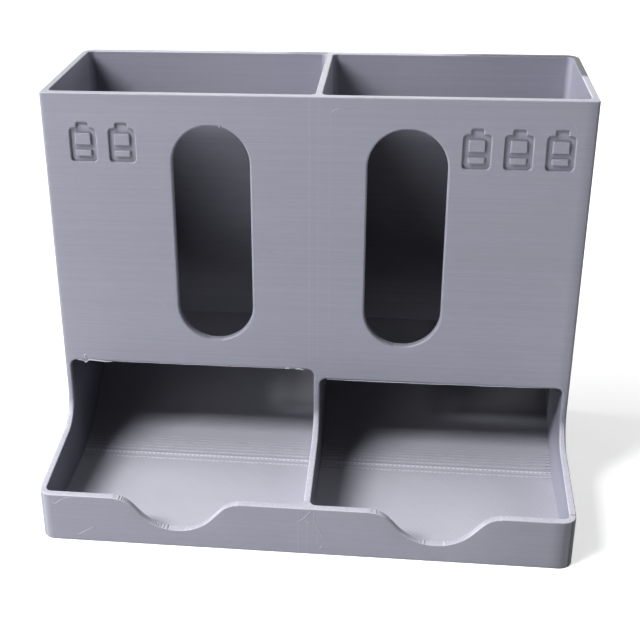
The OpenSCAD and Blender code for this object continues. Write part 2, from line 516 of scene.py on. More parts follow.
def ring_groove(low, high, r, stroke):
    """Cutter of the outline of a rounded rectangle, stroke wide."""
    inner_low = (low[0] + stroke, low[1] + stroke)
    inner_high = (high[0] - stroke, high[1] - stroke)
    inner_r = max(r - stroke, GLYPH_INNER_R)
    bm = bmesh.new()
    rows = []
    for depth, spread in groove_levels():
        outer = rounded_outline(low, high, r, spread)
        inner = rounded_outline(inner_low, inner_high, inner_r, -spread)
        rows.append([[bm.verts.new((x, PANEL_Y + depth, z)) for x, z in loop] for loop in (outer, inner)])
    count = len(rows[0][0])
    for front, back in zip(rows, rows[1:]):
        for loop in (0, 1):
            for i in range(count):
                j = (i + 1) % count
                bm.faces.new((front[loop][i], front[loop][j], back[loop][j], back[loop][i]))
    for outer, inner in (rows[0], rows[-1]):
        for i in range(count):
            j = (i + 1) % count
            bm.faces.new((outer[i], outer[j], inner[j], inner[i]))
    return tidy(bm)


def label_cutters(bay):
    """Cutters of the pictograms on a bay's panel: two cells on the left, three on the right."""
    middle_x, low_z, count = LEFT_GLYPHS if bay is left_bay else RIGHT_GLYPHS
    width, height = GLYPH_BODY
    cutters = []
    for i in range(count):
        x = middle_x + GLYPH_PITCH * i
        low = (x - width / 2, low_z)
        high = (x + width / 2, low_z + height)
        cutters.append(ring_groove(low, high, GLYPH_CORNER_R, GLYPH_STROKE))
        nub_low = (x - GLYPH_NUB[0] / 2, high[1] - GLYPH_STROKE / 2)
        nub_high = (x + GLYPH_NUB[0] / 2, high[1] + GLYPH_NUB[1])
        cutters.append(groove(nub_low, nub_high, GLYPH_NUB_R))
        bar_z = low_z + height * GLYPH_BAR_PLACE
        bar_low = (low[0] + GLYPH_STROKE / 2, bar_z - GLYPH_STROKE / 2)
        bar_high = (high[0] - GLYPH_STROKE / 2, bar_z + GLYPH_STROKE / 2)
        cutters.append(groove(bar_low, bar_high, GLYPH_BAR_R))
    return cutters


# Tray lips

def scoop_path(scoop_x):
    """Front view of a scoop from left to right: (x, z, slope), the slope falling first."""
    c, s = math.cos(SCOOP_ANGLE), math.sin(SCOOP_ANGLE)
    bowl_x = SCOOP_BOWL_R * s
    bowl_z = SCOOP_BOTTOM_Z + SCOOP_BOWL_R * (1 - c)
    side_z = LIP_Z - SCOOP_SHOULDER_R * (1 - c)
    side_x = bowl_x + (side_z - bowl_z) * c / s
    shoulder_x = side_x + SCOOP_SHOULDER_R * s
    half = []
    for rise in step_heights(0.0, LIP_Z - SCOOP_BOTTOM_Z):
        z = SCOOP_BOTTOM_Z + rise
        if z <= bowl_z:
            slope = math.acos(1 - rise / SCOOP_BOWL_R)
            x = SCOOP_BOWL_R * math.sin(slope)
        elif z < side_z:
            slope = SCOOP_ANGLE
            x = bowl_x + (z - bowl_z) * c / s
        else:
            slope = math.acos(max(-1.0, 1 - (LIP_Z - z) / SCOOP_SHOULDER_R))
            x = shoulder_x - SCOOP_SHOULDER_R * math.sin(slope)
        half.append((x, z, slope))
    left = [(scoop_x - x, z, -slope) for x, z, slope in reversed(half)]
    return left + [(scoop_x + x, z, slope) for x, z, slope in half[1:]]


def lip_station(outer, inner, z, slope=0.0, drop=0.0, joint=False):
    """Ring across a lip at one place: up its outer face, over the rounded rim and down inside."""
    across = Vector((inner[0] - outer[0], inner[1] - outer[1])).normalized()
    nx, nz = -math.sin(slope), math.cos(slope)
    ring = [(outer[0], outer[1], FLOOR_Z)]
    for (x, y), r, turns in ((outer, RIM_R, quarter()), (inner, 0.0 if joint else -RIM_R, quarter()[::-1])):
        for turn in turns:
            inset = RIM_R * (1 - math.sin(turn)) + drop * math.sin(turn)
            run = r * (1 - math.cos(turn))
            ring.append((x + across.x * run - nx * inset, y + across.y * run, z - nz * inset))
    ring.append((inner[0], inner[1], FLOOR_Z))
    return ring


def tray_lip(bay):
    """Lip of a bay from its outer corner to the middle of the divider."""
    wall_x, divider_x = sorted((bay.flip * bay.left, bay.flip * bay.right))
    rings = [lip_station((-SIDE_X, LIP_JOINT_Y), (wall_x, LIP_JOINT_Y), LIP_Z)]
    for turn in quarter(LIP_CORNER_STEPS):
        c, s = math.cos(turn), math.sin(turn)
        outer = (-SIDE_X + CORNER_R * (1 - c), LIP_Y + CORNER_R * (1 - s))
        inner = (wall_x + BAY_R * (1 - c), LIP_INNER_Y + BAY_R * (1 - s))
        rings.append(lip_station(outer, inner, LIP_Z))
    for x, z, slope in scoop_path(bay.flip * bay.scoop_x):
        drop = SCOOP_STEPS * step_drop(z - SCOOP_BOTTOM_Z, slope)
        rings.append(lip_station((x, LIP_Y), (x, LIP_INNER_Y), z, slope, drop))
    for turn in quarter(FILLET_STEPS):
        x = divider_x - BAY_R * (1 - math.sin(turn))
        inner = (x, LIP_INNER_Y + BAY_R * (1 - math.cos(turn)))
        rings.append(fillet_station(x, inner, turn))
    split = bay.flip * SPLIT_X
    rings.append(lip_station((split, LIP_Y), (split, LIP_JOINT_Y), LIP_Z, joint=True))
    return set_back(loft([[(bay.flip * x, y, z) for x, y, z in ring] for ring in rings]))


def fillet_station(x, inner, turn):
    """Ring across the lip where its inner face turns into the divider."""
    ring = lip_station((x, LIP_Y), inner, LIP_Z)
    half = len(ring) // 2
    across = (-math.sin(turn), math.cos(turn))
    for i, angle in enumerate(reversed(quarter())):
        run = RIM_R * (1 - math.cos(angle))
        place = ring[half + i]
        ring[half + i] = (inner[0] - across[0] * run, inner[1] - across[1] * run, place[2])
    return ring


# Ramps

def ramp(bay):
    """Ramp in printed steps that follow one round curve from the tray up to the back wall."""
    run = BACK_INNER_Y - RAMP_TOE_Y
    rise = RAMP_TOP_Z - FLOOR_Z
    r = (run * run + rise * rise) / (2 * rise)
    rings = []
    marks = []

    def add(y, z, shine):
        smooth_z = FLOOR_Z + r - math.sqrt(r * r - (y - RAMP_TOE_Y) ** 2)
        faded = (z - FLOOR_Z - RAMP_FULL_RISE) / RAMP_FADE_RISE
        share = max(RAMP_STEPS, min(1.0, 1.0 - faded))
        rings.append(ramp_ring(bay, y, smooth_z + (z - smooth_z) * share))
        marks.append(shine)

    places = [RAMP_TOE_Y + math.sqrt(r * r - (r - LAYER * k) ** 2) for k in range(1, int(rise / LAYER) + 1)]
    for k, y in enumerate(places):
        z = FLOOR_Z + LAYER * (k + 1)
        shine = NOSE_HIGHLIGHTS[k] if k < len(NOSE_HIGHLIGHTS) else NOSE_HIGHLIGHTS[-1]
        add(y, z - LAYER + (RING_GAP if k else 0.0), shine / 2)
        add(y, z - NOSE_R, shine)
        add(y + NOSE_R * NOSE_CUT, z - NOSE_R * NOSE_CUT, shine)
        add(y + NOSE_R, z, shine)
        tread = (places[k + 1] if k + 1 < len(places) else BACK_INNER_Y) - y
        if tread > TRACK_W + TRACK_ROOM:
            add(y + TRACK_W, z, shine)
            add(y + TRACK_W + TRACK_EDGE, z, -TRACK_SHADE * shine)
    bm = loft(rings)
    # Each step's value goes on its points: a painted highlight on the nose, and a painted shade on the track
    # behind it
    layer = bm.verts.layers.float.new("nose_highlight")
    heights = {}
    for ring, shine in zip(rings, marks):
        heights[(round(ring[0][1], 3), round(ring[0][2], 3))] = shine
    for vertex in bm.verts:
        vertex[layer] = heights.get((round(vertex.co.y, 3), round(vertex.co.z, 3)), 0.0)
    # The whole ramp, its steep sides too, takes the lit tone of faces that lie flat, which is painted light,
    # and loses most of the layers' tone
    return mark(bm, "lying_and_lit", 1.0)


def ramp_ring(bay, y, z):
    """Plan of a ramp behind y, with the bay's rounded back corners."""
    back = BACK_INNER_Y - BAY_R
    start = math.degrees(math.asin(min(1.0, max(0.0, (y - back) / BAY_R))))
    right = arc(bay.right - BAY_R, back, BAY_R, start, 90, FILLET_STEPS)
    left = arc(bay.left + BAY_R, back, BAY_R, 90, 180 - start, FILLET_STEPS)
    front = [(left[-1][0], y), (right[0][0], y)]
    return [(x, py, z) for x, py in front + right + left]


# Strands that the print left behind, with thinner ends and a wavy radius, and the share of the flat faces'
# lit tone they take, a painted highlight
STRAND_R = 0.075
STRAND_SIDES = 6
STRAND_STEP = 0.12
STRAND_TIP = 0.45
STRAND_TAPER = 0.2
STRAND_WAVE = 0.12
STRAND_PACE = 2.3
STRAND_INSET = 0.015
STRAND_SHINE = 0.8
HAIR_SHINE = 0.35
HAIR_R = 0.1

# Lowest tracks over the mouths, and for each bay the random seed and how low the left end hangs
BRIDGE_R = 0.21
BRIDGE_PARTS = 19
BRIDGE_SAG = 0.10
BRIDGE_WAVER = 0.05
BRIDGE_LIFT = 0.12
BRIDGE_INSET = 0.12
BRIDGE_SEED = {"left": 7, "right": 11}
BRIDGE_TILT = {"left": 0.0, "right": 0.25}

# Strands as radius and (x, z) along a face, on the lips with one radius for all, and beads
PANEL_STRANDS = {
    "mouth_hook": (0.16, ((-51.7, 30.9), (-52.2, 30.7), (-52.1, 30.3), (-51.9, 29.6), (-51.8, 28.9))),
    "mouth_edge": (0.17, ((-53.9, 29.4), (-52.6, 29.35), (-51.9, 28.95), (-51.0, 29.5), (-47.5, 29.25),
                          (-45.8, 29.27))),
    "mouth_knot": (0.16, ((-5.95, 29.4), (-5.4, 29.5), (-4.8, 29.42))),
    "corner_knot": (0.15, ((-3.6, 29.35), (-2.9, 29.46), (-2.2, 29.36), (-1.6, 29.2))),
    "panel_hair": (0.05, ((-34.2, 45.6), (-33.7, 45.1), (-33.1, 44.5), (-32.5, 43.6))),
    "seam_hair": (0.05, ((3.9, 88.8), (4.6, 89.4), (5.5, 89.7))),
    "corner_hair": (0.05, ((52.3, 86.9), (52.6, 86.5), (53.0, 85.9)))}
LIP_STRANDS = {
    "lip_left_hair": ((-53.9, 9.6), (-53.0, 9.4), (-52.3, 10.0), (-51.2, 10.7), (-49.6, 11.2)),
    "lip_low_hair": ((-48.9, 1.7), (-48.1, 1.9), (-46.8, 2.7), (-45.7, 3.3), (-45.2, 3.9)),
    "seam_loop": ((-0.6, 8.2), (-0.3, 8.4), (0.6, 9.1), (1.4, 10.1), (2.3, 11.2)),
    "seam_curl": ((2.8, 11.2), (2.8, 10.2), (3.0, 8.9), (3.6, 7.3), (4.1, 5.9), (4.7, 4.3)),
    "seam_tip": ((1.0, 8.5), (1.5, 8.3), (1.8, 7.9)),
    "foot_tip": ((4.1, 1.8), (4.6, 2.2))}
PANEL_BEADS = {"window_bead": ((-19.1, 85.35), 0.28), "panel_bead": ((-9.0, 57.7), 0.16)}


def smooth_path(points):
    """Points a small step apart on a smooth curve through the given points."""
    path = []
    ends = [points[0]] + list(points) + [points[-1]]
    for a, b, c, d in zip(ends, ends[1:], ends[2:], ends[3:]):
        count = max(1, round((c - b).length / STRAND_STEP))
        for i in range(count):
            t = i / count
            path.append(0.5 * (2 * b + (c - a) * t + (2 * a - 5 * b + 4 * c - d) * t * t
                               + (3 * b - a - 3 * c + d) * t * t * t))
    return path + [points[-1]]


def strand(face_y, radius, places, middle=0.0):
    """Thin round strand on an upright face, thinner towards its ends."""
    path = smooth_path([Vector((x, face_y + middle, z)) for x, z in places])
    rings = []
    for i, place in enumerate(path):
        ahead = path[min(i + 1, len(path) - 1)] - path[max(i - 1, 0)]
        side = ahead.cross(Vector((0, 1, 0))).normalized()
        share = min(i, len(path) - 1 - i) / max(1, len(path) - 1)
        full = STRAND_TIP + (1 - STRAND_TIP) * min(1.0, share / STRAND_TAPER)
        r = radius * full * (1 + STRAND_WAVE * math.sin(STRAND_PACE * i))
        turns = [2 * math.pi * k / STRAND_SIDES for k in range(STRAND_SIDES)]
        rings.append([place + side * r * math.cos(t) + Vector((0, r * math.sin(t), 0)) for t in turns])
    # Strands take the lit tone of faces that lie flat: a painted highlight
    return mark(loft(rings), "lying_and_lit", STRAND_SHINE if radius > HAIR_R else HAIR_SHINE)


def bead(place, radius):
    """Small round bead, half sunk into the front panel."""
    bm = bmesh.new()
    bmesh.ops.create_icosphere(bm, subdivisions=2, radius=radius)
    bmesh.ops.translate(bm, vec=(place[0], PANEL_Y, place[1]), verts=bm.verts)
    return bm


def bridge_strand(bay):
    """Lowest track of the panel over a mouth, sagging a little between the walls."""
    rng = random.Random(BRIDGE_SEED[bay.side])
    points = []
    low, high = bay.left + MOUTH_R, bay.right - MOUTH_R
    for i in range(BRIDGE_PARTS + 1):
        t = i / BRIDGE_PARTS
        sag = BRIDGE_SAG * 4 * t * (1 - t) + rng.uniform(-BRIDGE_WAVER, BRIDGE_WAVER)
        z = bay.mouth_z + BRIDGE_LIFT - sag - BRIDGE_TILT[bay.side] * (1 - t)
        points.append((low + (high - low) * t, z))
    return strand(PANEL_Y, BRIDGE_R, points, BRIDGE_R + BRIDGE_INSET)


def add_leftovers(material):
    """Strands and beads on the faces of the print."""
    for name, (radius, places) in PANEL_STRANDS.items():
        finish_piece(name, strand(PANEL_Y, radius, places), material)
    for name, places in LIP_STRANDS.items():
        finish_piece(name, strand(LIP_Y, STRAND_R, places, STRAND_R + STRAND_INSET), material)
    for name, (place, radius) in PANEL_BEADS.items():
        finish_piece(name, bead(place, radius), material)
    for bay in BAYS:
        finish_piece(bay.side + "_bridge_strand", bridge_strand(bay), material)


# Printed plastic

# Colour of upright faces and of faces that lie flat, at full share; the flat faces' colour is a lit copy of
# the same plastic, painted light
PLASTIC = (0.50, 0.503, 0.592)
LIT_FLAT_PLASTIC = (0.505, 0.505, 0.562)

# Share of that colour on upright faces, tray floors, ramps, the tray's rims and the hopper's rim: painted
# light and shade, with faces that look up lighter than upright ones, and the ramps and the hopper's rim
# darker than the floors and the tray's rims
UPRIGHT_LIGHT_TONE = 0.44
FLOOR_LIGHT_TONE = 0.80
RAMP_LIGHT_TONE = 0.70
RIM_LIGHT_TONE = 0.82
HOPPER_RIM_LIGHT_TONE = 0.69

# All tones below are added up, and the sum changes the share of colour by this much
DETAIL_SHARE = 0.4

# Lines of the layers: tone of single lines, of their drift along the line and of broad bands, and bump
LINE_TONE = 0.10
DRIFT_TONE = 0.20
BAND_TONE = 0.18
DRIFT_SCALE = 0.09
BAND_SCALE = 0.012
BAND_RISE = 0.75
LAYER_JUMP = 3.7
LAYER_BUMP = 0.010
STREAK_BUMP = 0.012

# Tracks of the faces that look up: width, tones, how clear on the left floor and on the ramps, and bump
TRACK_W = 0.435
TRACK_TONE = 0.05
PAIR_TONE = 0.12
TRACK_DRIFT_TONE = 0.12
TRACK_DRIFT_SCALE = 0.25
TRACK_JUMP = 5.0
LEFT_CLEAR = 0.35
CLEAR_SCALE = 0.11
RAMP_CLEAR = 0.25
TRACK_BUMP = 0.008

# Grain, blotches, mottled rims and wear: noise per millimetre, tone, and their share in roughness and bump
GRAIN_SCALE = 2.2
GRAIN_TONE = 0.10
GRAIN_ROUGH = 0.12
GRAIN_BUMP = 0.006
BLOTCH_SCALE = 0.035
BLOTCH_TONE = 0.12
MOTTLE_SCALE = 1.5
MOTTLE_TONE = 0.8
WEAR_SCALE = 0.7
WEAR_PATCH = (0.13, 0.24)
WEAR_TONE = 0.05
WEAR_ROUGH = 0.8
ROUGHNESS = 0.50
LAYER_ROUGH = 0.5

# How much of the layers' tone is gone on ramps and strands
LYING_SMOOTH = 0.8

# Upright seams where the inner walls meet the face: place, half width and how much lighter, and their noise
SEAMS = ((-0.55, 0.16, 0.26), (1.30, 0.22, 0.14), (3.70, 0.22, 0.10))
SEAM_SCALE = 0.12
SEAM_MEAN = 0.9

# Pale line of the first layers, and a painted contact shade as a darker line along the foot of the print
FIRST_LINE_Z = 0.95
FIRST_LINE_HALF = 0.16
FIRST_LINE_TONE = 0.14
FOOT_LINE = 0.40
FOOT_SHADE = 0.45

# Painted highlight along the noses of the ramps' first steps, broken into beads
BEAD_PITCH = 1.05
BEAD_HIGHLIGHT = 0.5
BEAD_LOW = 0.2
BEAD_RISE = 1.1

# Last tracks of the panels, drawn back at the corners over this run and by this much
CORNER_RUN = 2.2
CORNER_DROP = 0.11

# How far a face is turned to the front or up, from where its share begins to where it is full
LOOKS_FRONT = (0.9, 0.99)
TURNED_FRONT = (0.2, 0.6)
LOOKS_UP = (0.80, 0.97)
TURNED_UP = (0.1, 0.9)

# Where the outer walls end, the hopper's inside, the tray floors and the right bay begin
BETWEEN_X = (SIDE_X - 1.0, SIDE_X - 1.3)
HOPPER_FRONT_Y = (PANEL_INNER_Y - 0.3, PANEL_INNER_Y - 0.1)
HOPPER_BACK_Y = (BACK_INNER_Y + 0.3, BACK_INNER_Y + 0.1)
TRAY_FLOOR_Z = (FLOOR_Z + 0.2, FLOOR_Z + 0.05)
RIGHT_BAY_X = (SPLIT_X - 1, SPLIT_X + 1)

# Where a flat face becomes a rim, the reach of the windows and the hopper's rim, and where the ramps start
RIM_START_Z = (LIP_Z - 8.5, LIP_Z - 8.0)
WINDOW_START_Z = (30.0, 31.0)
WINDOW_END_Z = (CASE_Z - 4, CASE_Z - 3)
HOPPER_RIM_Z = (CASE_Z - 3, CASE_Z - 1)
RAMP_START_Z = (FLOOR_Z + 0.2, FLOOR_Z + 2.0)

# Tones that follow the photograph's light, from here to the end.
# Inside the hopper: paler near the rim, and darker behind the windows
NEAR_RIM_Z = (CASE_Z - 28, CASE_Z - 6)
INSIDE_LIGHT = 0.7
BEHIND_TOP_Z = (CASE_Z - 14, CASE_Z - 22)
BEHIND_FOOT_Z = (18.0, 30.0)
INSIDE_DARK = 0.9

# Outer faces that look right are darker, inner ones that look left paler, low in the tray and near the rim
LOOKS_RIGHT = (0.10, 0.80)
RIGHT_DARK = 1.0
LOOKS_LEFT = (-0.25, -0.95)
TRAY_WALL_Z = (18.0, 8.0)
TRAY_WALL_LIGHT = 1.5
HOPPER_WALL_LIGHT = 0.5

# Panels are paler towards their lower edge, the front is darker at its right end, and the lips more so
PANEL_Z = (62.0, 28.0)
ABOVE_LIP_Z = (LIP_Z + 2, LIP_Z + 6)
PANEL_LIGHT = 0.33
END_X = (SIDE_X - 3.0, SIDE_X - 0.6)
END_DARK = 0.4
BELOW_LIP_Z = (LIP_Z + 2, LIP_Z)
LIP_END_X = (30.0, 50.0)
LIP_END_DARK = 0.25
LIP_CORNER_X = (51.5, 55.2)
LIP_CORNER_DARK = 0.8

# Share taken from each ramp's far right part, where the window throws more light than in the photograph
DEEP_DARK = (0.40, 0.72)
DEEP_X = ((-12.0, -6.0), (24.0, 37.0))
DEEP_LEFT_END_X = (1.0, 0.0)
DEEP_Y = (13.5, 16.0)
DEEP_WALL_Z = (26.0, 20.0)


class Nodes:
    """Builds the node graph of one material. Inputs are numbers or the outputs of other nodes."""

    def __init__(self, material):
        material.use_nodes = True
        self.tree = material.node_tree
        self.shader = self.tree.nodes["Principled BSDF"]

    def fill(self, socket, value):
        if isinstance(value, bpy.types.NodeSocket):
            self.tree.links.new(value, socket)
        elif value is not None:
            socket.default_value = value

    def add(self, kind, values=(), **settings):
        node = self.tree.nodes.new(kind)
        for key, value in settings.items():
            setattr(node, key, value)
        for socket, value in zip(node.inputs, values):
            self.fill(socket, value)
        return node

    def math(self, operation, *values):
        return self.add("ShaderNodeMath", values, operation=operation).outputs[0]

    def total(self, *terms):
        result = terms[0]
        for term in terms[1:]:
            result = self.math("ADD", result, term)
        return result

    def times(self, *terms):
        result = terms[0]
        for term in terms[1:]:
            result = self.math("MULTIPLY", result, term)
        return result

    def less(self, a, b):
        return self.math("SUBTRACT", a, b)

    def rest(self, share):
        """What a share leaves of 1."""
        return self.less(1.0, share)

    def larger(self, a, b):
        return self.math("MAXIMUM", a, b)

    def apart(self, a, b):
        """Distance between two numbers."""
        return self.math("ABSOLUTE", self.less(a, b))

    def vector(self, x, y, z):
        return self.add("ShaderNodeCombineXYZ", (x, y, z)).outputs[0]

    def attribute(self, name):
        return self.add("ShaderNodeAttribute", attribute_name=name).outputs["Fac"]

    def noise(self, place, scale=1.0, detail=2.0):
        """Soft noise around zero, from -0.5 to 0.5."""
        node = self.add("ShaderNodeTexNoise")
        for name, value in (("Vector", place), ("Scale", scale), ("Detail", detail)):
            self.fill(node.inputs[name], value)
        return self.less(node.outputs[0], 0.5)

    def chance(self, number):
        """One random value from -0.5 to 0.5 for each whole number."""
        node = self.add("ShaderNodeTexWhiteNoise", noise_dimensions="1D")
        self.fill(node.inputs["W"], number)
        return self.less(node.outputs[0], 0.5)

    def blend(self, share, low, high):
        """Colour between two colours."""
        node = self.add("ShaderNodeMix", data_type="RGBA", clamp_factor=True)
        sockets = {socket.identifier: socket for socket in node.inputs}
        for name, value in (("Factor_Float", share), ("A_Color", low + (1,)), ("B_Color", high + (1,))):
            self.fill(sockets[name], value)
        return next(socket for socket in node.outputs if socket.type == "RGBA")

    def blend_value(self, share, low, high):
        """Number between two numbers."""
        return self.total(self.times(high, share), self.times(low, self.rest(share)))

    def step(self, value, low, high):
        """Soft step from 0 at low to 1 at high."""
        node = self.add("ShaderNodeMapRange", (value, low, high, 0.0, 1.0))
        node.interpolation_type = "SMOOTHSTEP"
        return node.outputs[0]

    def line(self, value, place, half):
        """Soft line: 1 where value equals place, 0 from half away."""
        return self.step(self.apart(value, place), half, 0.0)

    def ridges(self, number):
        """Rounded ridges, one for each whole number."""
        return self.math("ABSOLUTE", self.math("SINE", self.times(number, math.pi)))


class Surface:
    """Where a place on the print is, in millimetres, and shares from 0 to 1 that say how it lies."""

    def __init__(self, n):
        place = n.add("ShaderNodeTexCoord").outputs["Object"]
        millimetres = (1 / MM, 1 / MM, 1 / MM)
        self.spot = n.add("ShaderNodeVectorMath", (place, millimetres), operation="MULTIPLY").outputs[0]
        self.x, self.y, self.z = n.add("ShaderNodeSeparateXYZ", (self.spot,)).outputs
        normal = n.add("ShaderNodeNewGeometry").outputs["Normal"]
        self.right, back, self.top = n.add("ShaderNodeSeparateXYZ", (normal,)).outputs
        self.front = n.times(back, -1.0)
        self.faces_front = n.step(self.front, *LOOKS_FRONT)
        self.up = n.step(self.top, *LOOKS_UP)
        self.upright = n.rest(self.up)
        self.lying_and_lit = n.attribute("lying_and_lit")
        self.on_rim = n.larger(n.less(n.step(self.z, *RIM_START_Z), self.lying_and_lit), 0.0)
        in_window = n.less(n.step(self.z, *WINDOW_START_Z), n.step(self.z, *WINDOW_END_Z))
        # Faces that look up, and the ramps and strands, take the lighter tone and colour of lit faces:
        # painted light
        self.flat = n.larger(n.times(n.step(self.top, *TURNED_UP), n.rest(in_window)), self.lying_and_lit)
        self.between = n.step(n.math("ABSOLUTE", self.x), *BETWEEN_X)
        self.inside = n.times(n.step(self.y, *HOPPER_FRONT_Y), self.between, n.step(self.y, *HOPPER_BACK_Y))


def layer_signals(n, s):
    """Tone and bump of the upright faces: one line a layer, drifting along it, and broader bands."""
    layer = n.math("FLOOR", n.times(s.z, 1 / LAYER))
    each = n.chance(layer)
    drift = n.noise(n.vector(n.times(s.x, DRIFT_SCALE), n.times(s.y, DRIFT_SCALE),
                             n.times(layer, LAYER_JUMP)))
    bands = n.noise(n.vector(n.times(s.x, BAND_SCALE), n.times(s.y, BAND_SCALE), n.times(s.z, BAND_RISE)))
    tone = n.total(n.times(each, LINE_TONE), n.times(drift, DRIFT_TONE), n.times(bands, BAND_TONE))
    bump = n.total(n.times(n.ridges(n.times(s.z, 1 / LAYER)), LAYER_BUMP),
                   n.times(n.total(drift, each), STREAK_BUMP))
    return tone, bump


def rim_distance(n, s):
    """Distance from a place on a rim to the nearest outer face or bay edge, for the tracks along it."""
    result = n.less(SIDE_X, n.math("ABSOLUTE", s.x))
    to_back = n.less(BACK_Y, s.y)
    for other in (to_back, n.apart(s.y, PANEL_Y), n.less(s.y, LIP_Y), n.apart(s.x, divider_low.x)):
        result = n.math("MINIMUM", result, other)
    return result


def track_signals(n, s):
    """Tone and bump of the faces that look up: slanting tracks on the floors, tracks along the rims."""
    slant = n.times(n.total(s.x, s.y), 1 / (math.sqrt(2) * TRACK_W))
    along = n.times(rim_distance(n, s), 1 / TRACK_W)
    number = n.blend_value(s.on_rim, slant, along)
    each = n.chance(n.math("FLOOR", number))
    pairs = n.math("COSINE", n.times(number, math.pi))
    drift = n.noise(n.vector(n.times(s.x, TRACK_DRIFT_SCALE), n.times(s.y, TRACK_DRIFT_SCALE),
                             n.times(s.z, TRACK_JUMP)))
    on_floor = n.step(s.z, *TRAY_FLOOR_Z)
    clear = n.total(LEFT_CLEAR, n.times(n.step(s.x, *RIGHT_BAY_X), 1 - LEFT_CLEAR),
                    n.noise(s.spot, CLEAR_SCALE))
    even = n.total(RAMP_CLEAR, n.times(n.larger(on_floor, s.on_rim), 1 - RAMP_CLEAR))
    tone = n.total(n.times(each, TRACK_TONE, even), n.times(pairs, PAIR_TONE, clear, on_floor),
                   n.times(drift, TRACK_DRIFT_TONE, even))
    return tone, n.times(n.ridges(number), TRACK_BUMP)


def mark_tones(n, s):
    """Tones of single marks: seams, first line and mottled rims, a painted contact shade along the foot, and
    a painted highlight in beads on the ramps' noses.
    """
    seams = 0.0
    for seam_x, half, light in SEAMS:
        seams = n.total(seams, n.times(n.line(s.x, seam_x, half), light))
    seams = n.times(seams, s.faces_front, n.total(n.noise(s.spot, SEAM_SCALE), SEAM_MEAN))
    first = n.times(n.line(s.z, FIRST_LINE_Z, FIRST_LINE_HALF), s.upright, FIRST_LINE_TONE)
    # Painted contact shade along the foot of the print
    foot = n.times(n.step(s.z, FOOT_LINE, 0.0), s.upright, -FOOT_SHADE)
    mottle = n.times(n.noise(s.spot, MOTTLE_SCALE, 3.0), s.on_rim, MOTTLE_TONE, s.up)
    beads = n.total(n.times(n.ridges(n.times(s.x, 1 / BEAD_PITCH)), BEAD_RISE), BEAD_LOW)
    return n.total(seams, first, foot, mottle, n.times(n.attribute("nose_highlight"), beads, BEAD_HIGHLIGHT))


def side_light(n, s):
    """Tones after the photograph's light inside the hopper and on faces that look left or right."""
    near_rim = n.step(s.z, *NEAR_RIM_Z)
    behind = n.times(n.step(s.z, *BEHIND_TOP_Z), n.step(s.z, *BEHIND_FOOT_Z))
    hopper = n.times(s.inside, n.less(n.times(near_rim, INSIDE_LIGHT), n.times(behind, INSIDE_DARK)))
    right = n.times(n.step(s.right, *LOOKS_RIGHT), n.rest(s.between), -RIGHT_DARK)
    on_wall = n.total(n.times(n.step(s.z, *TRAY_WALL_Z), TRAY_WALL_LIGHT),
                      n.times(near_rim, HOPPER_WALL_LIGHT))
    left = n.times(n.step(s.right, *LOOKS_LEFT), s.between, on_wall)
    return n.total(hopper, right, left)


def front_light(n, s):
    """Tones after the photograph's light on the panels and the lips."""
    panel = n.times(n.step(s.z, *PANEL_Z), n.step(s.z, *ABOVE_LIP_Z), s.faces_front, PANEL_LIGHT)
    end = n.times(n.step(s.x, *END_X), s.faces_front, END_DARK)
    lip = n.total(n.times(n.step(s.x, *LIP_END_X), LIP_END_DARK),
                  n.times(n.step(s.x, *LIP_CORNER_X), LIP_CORNER_DARK))
    lip = n.times(lip, n.step(s.front, *TURNED_FRONT), n.step(s.z, *BELOW_LIP_Z))
    return n.less(n.less(panel, end), lip)


def facing_painted_light(n, s):
    """Share of the plastic's colour by the way a face lies, as painted light and shade, less a painted shade
    on the ramps' far right parts.
    """
    rim = n.blend_value(n.step(s.z, *HOPPER_RIM_Z), RIM_LIGHT_TONE, HOPPER_RIM_LIGHT_TONE)
    low = n.blend_value(n.step(s.z, *RAMP_START_Z), FLOOR_LIGHT_TONE, RAMP_LIGHT_TONE)
    lit_facing = n.blend_value(s.flat, UPRIGHT_LIGHT_TONE, n.blend_value(s.on_rim, low, rim))
    left = n.times(n.step(s.x, *DEEP_X[0]), n.step(s.x, *DEEP_LEFT_END_X), DEEP_DARK[0])
    deep = n.times(n.total(left, n.times(n.step(s.x, *DEEP_X[1]), DEEP_DARK[1])), n.step(s.y, *DEEP_Y))
    return n.times(lit_facing, n.rest(n.times(deep, n.larger(s.flat, n.step(s.z, *DEEP_WALL_Z)))))


def corner_bump(n, s):
    """Bump of the panels' last tracks, which draw back towards the corners."""
    past = n.larger(n.less(n.math("ABSOLUTE", s.x), SIDE_X - CORNER_RUN), 0.0)
    return n.times(n.math("POWER", n.times(past, 1 / CORNER_RUN), 2.0), s.faces_front, -CORNER_DROP)


